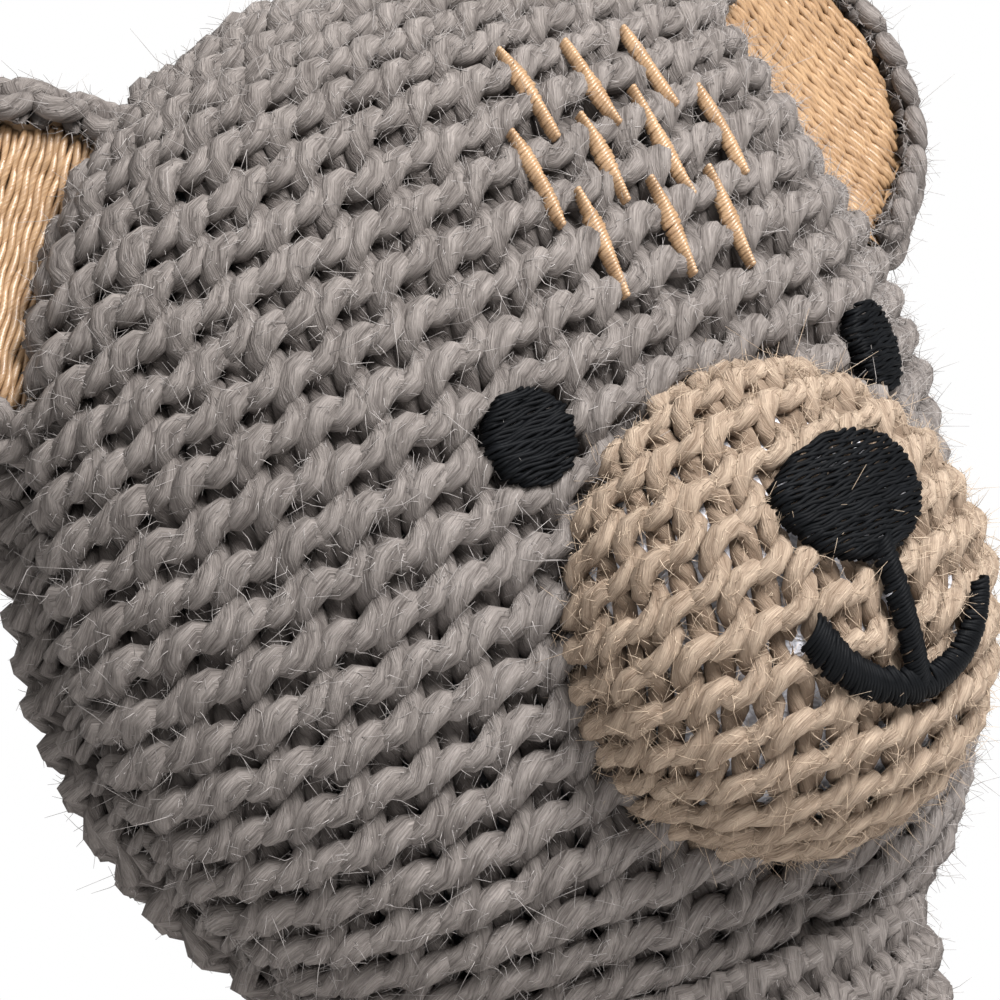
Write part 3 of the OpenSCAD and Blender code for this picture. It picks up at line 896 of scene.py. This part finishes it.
mouthThreads = satinStitches("mouth_embroidery", mouthPaths, onMuzzle, 24, materials["blackThread"], 1.0, -0.35)
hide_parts("mouth")
facePieces = [(noseThreads, "black_rayon_thread"), (mouthThreads, "black_rayon_thread")]
for side, middle in eyeMiddles.items():
    eye = fillStitches("eye_" + side + "_embroidery", middle, (eyeRadius * 0.93, eyeRadius * 0.98), 8, onHead,
                       roundShape, materials["blackThread"])
    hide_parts("eye_" + side)
    facePieces.append((eye, "black_rayon_thread"))

forehead = {
    "rows": (3, 4, 3), "pitchX": 6.9, "pitchZ": 7.4, "length": 9.2, "width": 1.25,
    "slant": 0.09,             # how far each stitched line leans
}
dashLow, dashHigh = cadBox("forehead_stitches")
dashMiddle = (dashLow + dashHigh) / 2
dashPaths = []
for row, count in enumerate(forehead["rows"]):
    for i in range(count):
        s = np.linspace(-0.5, 0.5, 24)
        middleX = (i - (count - 1) / 2) * forehead["pitchX"] + rng.normal(0, 0.25)
        middleZ = dashMiddle[2] + (1 - row) * forehead["pitchZ"] + rng.normal(0, 0.35)
        length = forehead["length"] * (1 + rng.normal(0, 0.06))
        bend = 0.35 * np.sin(2.5 * s + rng.uniform(-1, 1))
        width = forehead["width"] * (0.32 + 0.85 * np.cos(math.pi * s) ** 0.8) * (
            1 + 0.22 * np.sin(9 * s + rng.uniform(0, 6)))
        dashPaths.append((middleX + bend - forehead["slant"] * length * s, middleZ + length * s, width))
dashThreads = satinStitches("forehead_embroidery", dashPaths, onHead, 22, materials["tanThread"], 0.75, -0.3)
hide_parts("forehead_stitches")
facePieces.append((dashThreads, "tan_rayon_thread"))
for piece, slotName in facePieces:
    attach(piece, "head")
print("face embroidered")


# ears

earShape = {
    "width": 32.0, "height": 19.0, "rim": 4.5, "thick": 5.0, "angle": 32.5, "lean": 20.0, "cup": 2.2,
    "root": 8.0, "liningThread": 0.35, "liningSpacing": 0.6, "liningStitch": 4.4,
}


# ear axes: along the base, outwards and to the front, for the bear's left (side 1) or right (side -1)
def earAxes(look, side):
    up, lean = math.radians(look["angle"]), math.radians(look["lean"])
    out = np.array([math.cos(up), 0, math.sin(up)])
    base = np.array([math.sin(up), 0, -math.cos(up)])
    away = out * math.cos(lean) + np.array([0, 1, 0]) * math.sin(lean)
    front = out * math.sin(lean) - np.array([0, 1, 0]) * math.cos(lean)
    flip = np.array([side, 1, 1])
    return headCentre + headRadius * out * flip, base * flip * side, away * flip, front * flip


# ear-shaped outline with its radius share k: (k * half width * cos w, k * height * sin w)
def earSpot(axes, u, v, w):
    origin, base, away, front = axes
    return origin + u[..., None] * base + v[..., None] * away + w[..., None] * front


def cupDepth(look, u, v):
    return -look["cup"] * np.clip(1 - (2 * u / look["width"]) ** 2 - (v / look["height"]) ** 2, 0, 1)


# the rim: cloth carried along the outline and rolled over the edge from the lining to the back
def earRimPlace(axes, look):
    half, height, roll = look["width"] / 2, look["height"], look["rim"] / 2

    def place(a, b):
        w = math.pi / 2 - a / ((half + height) / 2 * 0.93)
        down = np.maximum(-w, 0) + np.maximum(w - math.pi, 0)
        w = np.clip(w, 0, math.pi)
        turn = np.clip(b / roll, -2.2, 2.2)
        share = np.sin(turn)
        outU, outV = (half - roll) * np.cos(w), (height - roll) * np.sin(w)
        normalU, normalV = np.cos(w) * height, np.sin(w) * half
        size = np.hypot(normalU, normalV)
        reach = roll * np.cos(turn)
        u = outU + normalU / size * reach
        v = outV + normalV / size * reach - down * 15
        return earSpot(axes, u, v, -share * look["thick"] / 2)
    return place


# the back: flat cloth on a shallow dome behind the rim
def earBackPlace(axes, look):
    def place(a, b):
        swell = 1.6 * np.clip(1 - (2 * a / look["width"]) ** 2 - (b / look["height"]) ** 2, -0.4, 1)
        return earSpot(axes, -a, b, -look["thick"] / 2 + 0.4 - swell)
    return place


rimKnit = dict(headKnit, stitch=4.6, course=3.7, tall=3.8, lean=1.15, tilt=0.3, yarn=1.0, sink=-0.5, deep=0.6,
               uneven=0.22, tuck=0.6, tuckWide=1.5)


def makeEar(name, side, look):
    axes = earAxes(look, side)
    reach = (look["width"] / 2 + look["height"]) / 2 * 0.93 * math.pi / 2
    rimStrands = knit(earRimPlace(axes, look),
                      lambda points, a, b: np.minimum(outsideHead(points) + 9, reach + 9 - np.abs(a)),
                      (-9, 9), (-1, 1), rimKnit)

    def backEdgeOf(points, a, b):
        level = np.hypot(2 * a / look["width"], np.maximum(b, 0) / look["height"])
        return np.minimum((1.02 - level) * look["height"], outsideHead(points) + 9)
    backStrands = knit(earBackPlace(axes, look), backEdgeOf, (-4, 4), (-4, 7), dict(rimKnit, sink=-0.9))
    knitted = joinArrays([strandArrays(x) for x in (rimStrands, backStrands)])
    piece = makeMesh("ear_" + name + "_knit", *knitted, materials["greyYarn"])
    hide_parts("ear_" + name)
    fuzz = [fuzzPiece("ear_" + name + part, strands, dict(headFuzz, count=2000), materials["greyFuzz"])
            for part, strands in (("_fuzz_rim", rimStrands), ("_fuzz_back", backStrands))]
    return piece, fuzz, axes


# the lining: long threads beside each other along the base, each nipped in where one stitch ends
def makeEarLining(name, axes, look):
    half, height = look["width"] / 2 - look["rim"] + 1.0, look["height"] - look["rim"] + 1.0
    rows = np.arange(-look["root"], height - 0.2, look["liningSpacing"])
    reach = half * np.sqrt(np.clip(1 - (np.maximum(rows, 0) / height) ** 2, 0.01, 1))
    s = np.linspace(-1, 1, 49)
    along = reach[:, None] * s + rng.normal(0, 0.3, (len(rows), 1))
    across = rows[:, None] + 0.10 * np.sin(along * 1.3 + rng.uniform(0, 6, (len(rows), 1)))
    phase = along / look["liningStitch"] + (np.arange(len(rows)) % 2)[:, None] / 2
    phase = phase + rng.normal(0, 0.05, (len(rows), 1))
    nip = np.abs(np.sin(math.pi * phase)) ** 0.4
    front = look["thick"] / 2 - 0.9 + cupDepth(look, along, across) + 0.35 * nip - 0.8 * np.abs(s) ** 12
    paths = earSpot(axes, along, across, front)
    normals = np.broadcast_to(axes[3], paths.shape)
    radii = look["liningThread"] * (0.72 + 0.34 * nip)
    keep = np.ones((len(rows), len(s) - 1), bool)
    threads = tubeArrays(paths, normals, radii, keep, 6)
    grid = np.linspace(-1, 1, 25)
    u, v = np.meshgrid(grid * (half + 1.5), np.linspace(-look["root"], height + 1.5, 20))
    inside = np.hypot(u / (half + 1.8), np.maximum(v, 0) / (height + 1.8)) < 1
    shrink = np.where(inside, 1, 0.94)
    layers = []
    for drop in (1.5, 2.1):
        layers.append(earSpot(axes, u * shrink, v * shrink, look["thick"] / 2 - drop + cupDepth(look, u, v)))
    points = np.concatenate([layer.reshape(-1, 3) for layer in layers])
    index = np.arange(u.size).reshape(u.shape)
    cells = np.stack([index[:-1, :-1], index[:-1, 1:], index[1:, 1:], index[1:, :-1]], axis=-1)
    cells = cells[inside[:-1, :-1] & inside[1:, 1:] & inside[:-1, 1:] & inside[1:, :-1]]
    front, back = cells, cells[:, ::-1] + u.size
    corner = np.zeros((len(points), 2)) + 0.5
    backing = (points, [front, back], [corner[front], corner[back]], np.zeros(len(points)))
    arrays = joinArrays([threads, backing])
    return makeMesh("ear_" + name + "_lining_threads", *arrays, materials["tanThread"])


for name, side in (("left", 1), ("right", -1)):
    piece, fuzz, axes = makeEar(name, side, earShape)
    lining = makeEarLining(name, axes, earShape)
    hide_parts("ear_" + name + "_lining")
    for made, slotName in ((piece, "grey_yarn"), (fuzz[0], "grey_yarn"), (fuzz[1], "grey_yarn"),
                           (lining, "tan_rayon_thread")):
        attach(made, "head")
print("ears made")


# seams of the head

headSeam = {"pitch": 2.9, "reach": 2.1, "slant": 1.3, "thick": 0.62, "lift": 0.5, "sink": 1.5, "under": 0.2}


# stitches across the seam: from a spot in front of it to one behind it, a little further round
def makeHeadSeam(look):
    turn = np.arange(0, fullTurn, look["pitch"] / headRadius) - 0.4 * math.pi
    ends = []
    for way in (-1, 1):
        w = turn + way * look["slant"] / 2 / headRadius
        across = np.full(len(w), way * look["reach"])
        edge = headRadius - look["under"]
        ends.append(headCentre + np.stack([edge * np.cos(w), across, edge * np.sin(w)], axis=-1))
    normals = unit((ends[0] + ends[1]) / 2 - headCentre)
    return bars(settled(ends[0]), settled(ends[1]), normals, look["lift"], look["sink"], look["thick"],
                materials["greyYarn"], "head_seam_stitches")


seamStitches = makeHeadSeam(headSeam)
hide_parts("head_seam")
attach(seamStitches, "head")


# sleeve, neck and cuff

sleeve = {
    "radius": 36.0, "bend": 106.0, "collar": 136.0, "neckRadius": 22.0, "neckTop": 147.0, "bulge": 0.9,
    "columns": 40, "armHole": 9.6,
    "shoulders": (38.0, 110.0, 15.0),    # pivots' distance, height, and the arms' angle below level
}


# profile by arc length: a straight wall, an S-curve (1 + cos) / 2 in to the neck, and the neck's bulge
def sleeveTable(look):
    fall = look["radius"] - look["neckRadius"]
    straight = np.linspace(0, look["bend"], 80)
    curve = np.linspace(look["bend"], look["collar"], 80)[1:]
    neck = np.linspace(look["collar"], look["neckTop"], 24)[1:]
    close = np.linspace(0, 1.45, 24)[1:]
    share = (curve - look["bend"]) / (look["collar"] - look["bend"])
    out = np.concatenate([
        np.full(80, look["radius"]), look["neckRadius"] + fall * (1 + np.cos(math.pi * share)) / 2,
        look["neckRadius"] + look["bulge"] * np.sin((neck - look["collar"]) / 7),
        look["neckRadius"] + look["bulge"] - 7.5 * (1 - np.cos(close))])
    rise = np.concatenate([straight, curve, neck, look["neckTop"] + 4.5 * np.sin(close)])
    run = np.concatenate([[0], np.cumsum(np.hypot(np.diff(out), np.diff(rise)))])
    return run, out, rise


# cloth (a, b) wrapped round an axis: angle = a / radius, b along the profile
def wrapPlace(table, radius, origin, front, across, axis):
    run, out, rise = table

    def place(a, b):
        angle = np.asarray(a) / radius
        r, h = np.interp(b, run, out)[..., None], np.interp(b, run, rise)[..., None]
        return origin + r * (np.cos(angle)[..., None] * front + np.sin(angle)[..., None] * across) + h * axis
    return place


sleeveProfile = sleeveTable(sleeve)
sleevePlace = wrapPlace(sleeveProfile, sleeve["radius"], np.zeros(3), np.array([0, -1.0, 0]),
                        np.array([1.0, 0, 0]), np.array([0, 0, 1.0]))
sleeveHalf = sleeve["radius"] * math.pi / 2


def armAxes(look, side):
    across, height, drop = look["shoulders"]
    down = math.radians(drop)
    axis = np.array([side * math.cos(down), 0, -math.sin(down)])
    front = np.array([0, -1.0, 0])
    return np.array([side * across, 0, height]), front, np.cross(axis, front), axis


# distance to the nearer arm's axis
def armAway(points):
    away = []
    for side in (-1, 1):
        origin, _, _, axis = armAxes(sleeve, side)
        local = points - origin
        along = local @ axis
        away.append(np.linalg.norm(local - along[..., None] * axis, axis=-1) + 100 * (along < -12))
    return np.minimum(*away)


def sleeveEdge(middle):
    def edge(points, a, b):
        return np.minimum(sleeveHalf - 0.5 - np.abs(a - middle), armAway(points) - sleeve["armHole"])
    return edge


sleeveKnit = dict(headKnit, stitch=fullTurn * sleeve["radius"] / sleeve["columns"], sides=6, perStitch=12,
                  tuck=1.6, tuckWide=3.0)
sleevePieces = []
for name, column in (("front", 0), ("back", sleeve["columns"] // 2)):
    edge = sleeveEdge(column * sleeveKnit["stitch"])
    strands = knit(sleevePlace, edge, (column - 11, column + 11), (6, 27), sleeveKnit)
    piece = knitPiece("sleeve_knit_" + name, strands, materials["greyYarn"])
    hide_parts("body_" + name)
    hair = fuzzPiece("sleeve_fuzz_" + name, strands, dict(headFuzz, count=4400), materials["greyFuzz"])
    sleevePieces += [piece, hair]


sideSeam = {"low": 25.5, "high": 116, "clear": 1.5}   # from the cuff to the shoulder, and clear of the arms


# side seams: slanted stitches over the joint of front and back, in the head seam's yarn
def makeSideSeams(look):
    starts, ends, normals = [], [], []
    for side in (-1, 1):
        b = np.arange(look["low"], look["high"], headSeam["pitch"])
        starts.append(sleevePlace(side * sleeveHalf - headSeam["reach"] + 0 * b, b))
        ends.append(sleevePlace(side * sleeveHalf + headSeam["reach"] + 0 * b, b + headSeam["slant"]))
        normals.append(np.stack([side + 0 * b, 0 * b, 0 * b], axis=-1))
    starts, ends, normals = (np.concatenate(v) for v in (starts, ends, normals))
    clear = armAway(starts) > sleeve["armHole"] + look["clear"]
    return bars(starts[clear], ends[clear], normals[clear], headSeam["lift"], 1.4, headSeam["thick"],
                materials["greyYarn"], "side_seam_stitches")


sideSeams = makeSideSeams(sideSeam)
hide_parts("side_seams")
sleevePieces.append(sideSeams)

cuff = {
    "columns": 52,
    "lift": 5.9,               # height of the first course
    # the cast-on edge's two twisted yarns
    "rope": 0.75, "ropeYarn": 0.95, "ropeInset": 1.6, "ropeHeight": 2.0, "steps": 312,
}
cuffKnit = dict(headKnit, stitch=fullTurn * sleeve["radius"] / cuff["columns"], course=4.5, tall=4.5,
                lean=1.0, tilt=0.1, deep=0.95, sink=-1.5, yarn=1.1, rib=0.75, sides=6, perStitch=12,
                tuck=0.3, tuckWide=1.0)
cuffStrands = knit(lambda a, b: sleevePlace(a, b + cuff["lift"]), lambda points, a, b: 0 * a + b + 40,
                   (-cuff["columns"] // 2, cuff["columns"] // 2), (0, 3), cuffKnit)
cuffRound = np.linspace(0, fullTurn, cuff["steps"] + 1)
castOn = []
for phase in (0, math.pi):
    wind = cuff["columns"] * cuffRound + phase
    r = sleeve["radius"] - cuff["ropeInset"] + cuff["rope"] * np.cos(wind)
    z = cuff["ropeHeight"] + cuff["rope"] * np.sin(wind)
    path = np.stack([r * np.sin(cuffRound), -r * np.cos(cuffRound), z], axis=-1)[None]
    guide = np.stack([np.sin(cuffRound), -np.cos(cuffRound), 0 * cuffRound], axis=-1)[None]
    castOn.append(tubeArrays(path, guide, np.full((1, cuff["steps"] + 1), cuff["ropeYarn"]),
                             np.ones((1, cuff["steps"]), bool), 6))
cuffPiece = makeMesh("cuff_knit", *joinArrays([strandArrays(cuffStrands), *castOn]), materials["greyYarn"])
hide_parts("cuff")
cuffHair = fuzzPiece("cuff_fuzz", cuffStrands, dict(headFuzz, count=4000), materials["greyFuzz"])
sleevePieces += [cuffPiece, cuffHair]
for piece in sleevePieces:
    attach(piece, "sleeve")


# whole rounds of cloth; the seam between their first and last stitch is at the back
def roundEdge(points, a, b):
    return np.minimum(0 * a + 40, armAway(points) - sleeve["armHole"])


for name, courses, first, last, start, end, node in (
        ("shoulder", (28, 32), "sleeve", "neck", 0.120, 0.134, "neck_thread"),
        ("neck", (33, 36), "neck", "head", 0.136, 0.150, "neck_gusset")):
    halfRound = sleeve["columns"] // 2
    strands = knit(sleevePlace, roundEdge, (-halfRound, halfRound), courses, sleeveKnit)
    piece = knitPiece(name + "_knit", strands, materials["greyYarn"])
    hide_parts(node)
    hair = fuzzPiece(name + "_fuzz", strands, dict(headFuzz, count=2500), materials["greyFuzz"])
    for made in (piece, hair):
        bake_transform(made)
print("sleeve, neck and cuff knitted")


# arms

arm = {
    "radius": 13.5, "round": 0.9, "length": 52.0, "columns": 15, "root": 14.0, "tip": 2.4,
    # the four threads that close the tip: radius, reach from the middle, drop at their ends and depth
    "spokeYarn": 0.95, "spokeReach": 3.6, "spokeDrop": 1.4, "spokeDeep": 0.6,
}


# a straight tube with a rounded end: (r sin q, r * round * (1 - cos q)) from the tip
def armTable(look):
    radius, bow = look["radius"], look["radius"] * look["round"]
    straight = np.linspace(-look["root"], look["length"] - bow, 60)
    q = np.linspace(0, math.pi / 2, 40)[1:]
    out = np.concatenate([np.full(60, radius), radius * np.cos(q)])
    rise = np.concatenate([straight, look["length"] - bow + bow * np.sin(q)])
    run = np.concatenate([[0], np.cumsum(np.hypot(np.diff(out), np.diff(rise)))]) - look["root"]
    return run, out, rise


armProfile = armTable(arm)
armKnit = dict(headKnit, stitch=fullTurn * arm["radius"] / arm["columns"], sides=6, perStitch=12, tuck=1.2,
               tuckWide=2.0)


def makeArm(name, side):
    origin, front, across, axis = armAxes(sleeve, side)
    place = wrapPlace(armProfile, arm["radius"], origin, front, across, axis)
    half = arm["columns"] / 2

    def edge(points, a, b):
        return np.minimum(np.interp(b, armProfile[0], armProfile[1]) - arm["tip"], b + arm["root"])
    for part, courses, first, last, start, end in (
            ("root", (-2, 1), "sleeve", name + "_shoulder", -4, 5),
            ("arm", (2, 13), name + "_shoulder", name + "_arm", 7, 17)):
        strands = knit(place, edge, (-8, 8), courses, armKnit)
        inside = np.abs(np.linspace(-8, 8, strands["radii"].shape[1])) <= half + 1e-6
        strands["keep"] = strands["keep"] & inside[1:] & inside[:-1]
        arrays = [strandArrays(strands)]
        if part == "arm":
            w = np.arange(4) * math.pi / 4
            spoke = np.cos(w)[:, None] * front + np.sin(w)[:, None] * across
            tipMiddle = origin + axis * (arm["length"] - arm["spokeDeep"])
            s = np.linspace(-1, 1, 9)
            paths = tipMiddle + arm["spokeReach"] * s[:, None] * spoke[:, None]
            paths = paths - arm["spokeDrop"] * (s * s)[:, None] * axis
            arrays.append(tubeArrays(paths, np.broadcast_to(axis, paths.shape),
                                     np.full((4, 9), arm["spokeYarn"]), np.ones((4, 8), bool), 6))
        piece = makeMesh("arm_" + name + "_" + part + "_knit", *joinArrays(arrays), materials["greyYarn"])
        hair = fuzzPiece("arm_" + name + "_" + part + "_fuzz", strands,
                         dict(headFuzz, count=800 if part == "root" else 3000), materials["greyFuzz"])
        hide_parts(("shoulder_gusset_" if part == "root" else "arm_") + name)
        for made in (piece, hair):
            low, high = (tuple((origin + axis * along) * mm) for along in (start, end))
            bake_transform(made)
            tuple(low)
            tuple(high)


makeArm("left", 1)
makeArm("right", -1)
print("arms knitted")


# linings

linings = {
    "wall": 0.9, "sleeve": 31.6, "arm": 9.6, "socket": 12.4, "ripple": 0.10, "armRipple": 0.05,
    "armStart": 11.6, "armTip": 3.5, "armCloth": 40.0,   # along the arm, and the length of its cloth
    "hem": 6.0,                                          # cloth turned in at both ends
}


# two skins from point grids (rows, around), joined along every edge of the kept cells
def shell(name, outer, inner, keep, material):
    count = outer[..., 0].size
    index = np.arange(count).reshape(outer.shape[:2])
    following = np.roll(index, -1, axis=1)
    low, lowNext, high, highNext = index[:-1], following[:-1], index[1:], following[1:]
    gone = ~keep
    edgeRow = np.ones((1, keep.shape[1]), bool)
    sides = (
        (keep & np.roll(gone, -1, axis=1), lowNext, lowNext + count, highNext + count, highNext),
        (keep & np.roll(gone, 1, axis=1), low, high, high + count, low + count),
        (keep & np.concatenate([gone[1:], edgeRow]), high, highNext, highNext + count, high + count),
        (keep & np.concatenate([edgeRow, gone[:-1]]), low, low + count, lowNext + count, lowNext),
    )
    quads = [np.stack([low, lowNext, highNext, high], axis=-1)[keep],
             np.stack([low, high, highNext, lowNext], axis=-1)[keep] + count]
    quads += [np.stack(corners, axis=-1)[chosen] for chosen, *corners in sides]
    quads = np.concatenate(quads)
    points = np.concatenate([outer.reshape(-1, 3), inner.reshape(-1, 3)])
    return makeMesh(name, points, [quads], [np.stack([quads % 97 / 97, quads // 97 % 89 / 89], axis=-1)], None,
                    material)


# grid of points round an axis from a profile (r, h), with fine lengthwise ripples
def liningGrid(profile, around, origin, front, across, axis, ripple):
    turn = fullTurn * np.arange(around) / around
    r = profile[:, 0, None] + ripple * np.sin(9 * turn + 0.2 * profile[:, 1, None])
    return (origin + r[..., None] * (np.cos(turn)[:, None] * front + np.sin(turn)[:, None] * across)
            + profile[:, 1, None, None] * axis)


world = (np.zeros(3), np.array([0, -1.0, 0]), np.array([1.0, 0, 0]), np.array([0, 0, 1.0]))
wall = linings["wall"]
liningLow, liningHigh = cadBox("body_lining")
rise = np.concatenate([np.linspace(liningLow[2], sleeve["bend"], 60),
                       np.linspace(sleeve["bend"], liningHigh[2], 24)[1:]])
sleeveIn = np.interp(rise, sleeveProfile[2], sleeveProfile[1]) - (sleeve["radius"] - linings["sleeve"])
outer, inner = (liningGrid(np.stack([sleeveIn - depth, rise], axis=-1), 160, *world, linings["ripple"])
                for depth in (0, wall))
cells = (outer[:-1] + outer[1:]) / 2
cells = (cells + np.roll(cells, -1, axis=1)) / 2
bodyLining = shell("body_lining_cloth", outer, inner, armAway(cells) > linings["socket"], materials["jersey"])
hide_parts("body_lining")
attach(bodyLining, "sleeve")
for name, side in (("left", 1), ("right", -1)):
    origin, front, across, axis = armAxes(sleeve, side)
    q = np.linspace(0, math.pi / 2 - 0.03, 14)
    tip = arm["length"] - linings["armTip"]
    skins = []
    for depth in (0, wall):
        r = linings["arm"] - depth
        bend = tip - depth - arm["round"] * r
        profile = np.concatenate([
            np.stack([np.full(20, r), np.linspace(linings["armStart"], bend, 20)], axis=-1),
            np.stack([r * np.cos(q), bend + arm["round"] * r * np.sin(q)], axis=-1)[1:]])
        skins.append(liningGrid(profile, 48, origin, front, across, axis, linings["armRipple"]))
    piece = shell("arm_" + name + "_lining_cloth", *skins, np.ones((32, 48), bool), materials["jersey"])
    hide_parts("arm_" + name + "_lining")
    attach(piece, name + "_arm")
print("linings made")
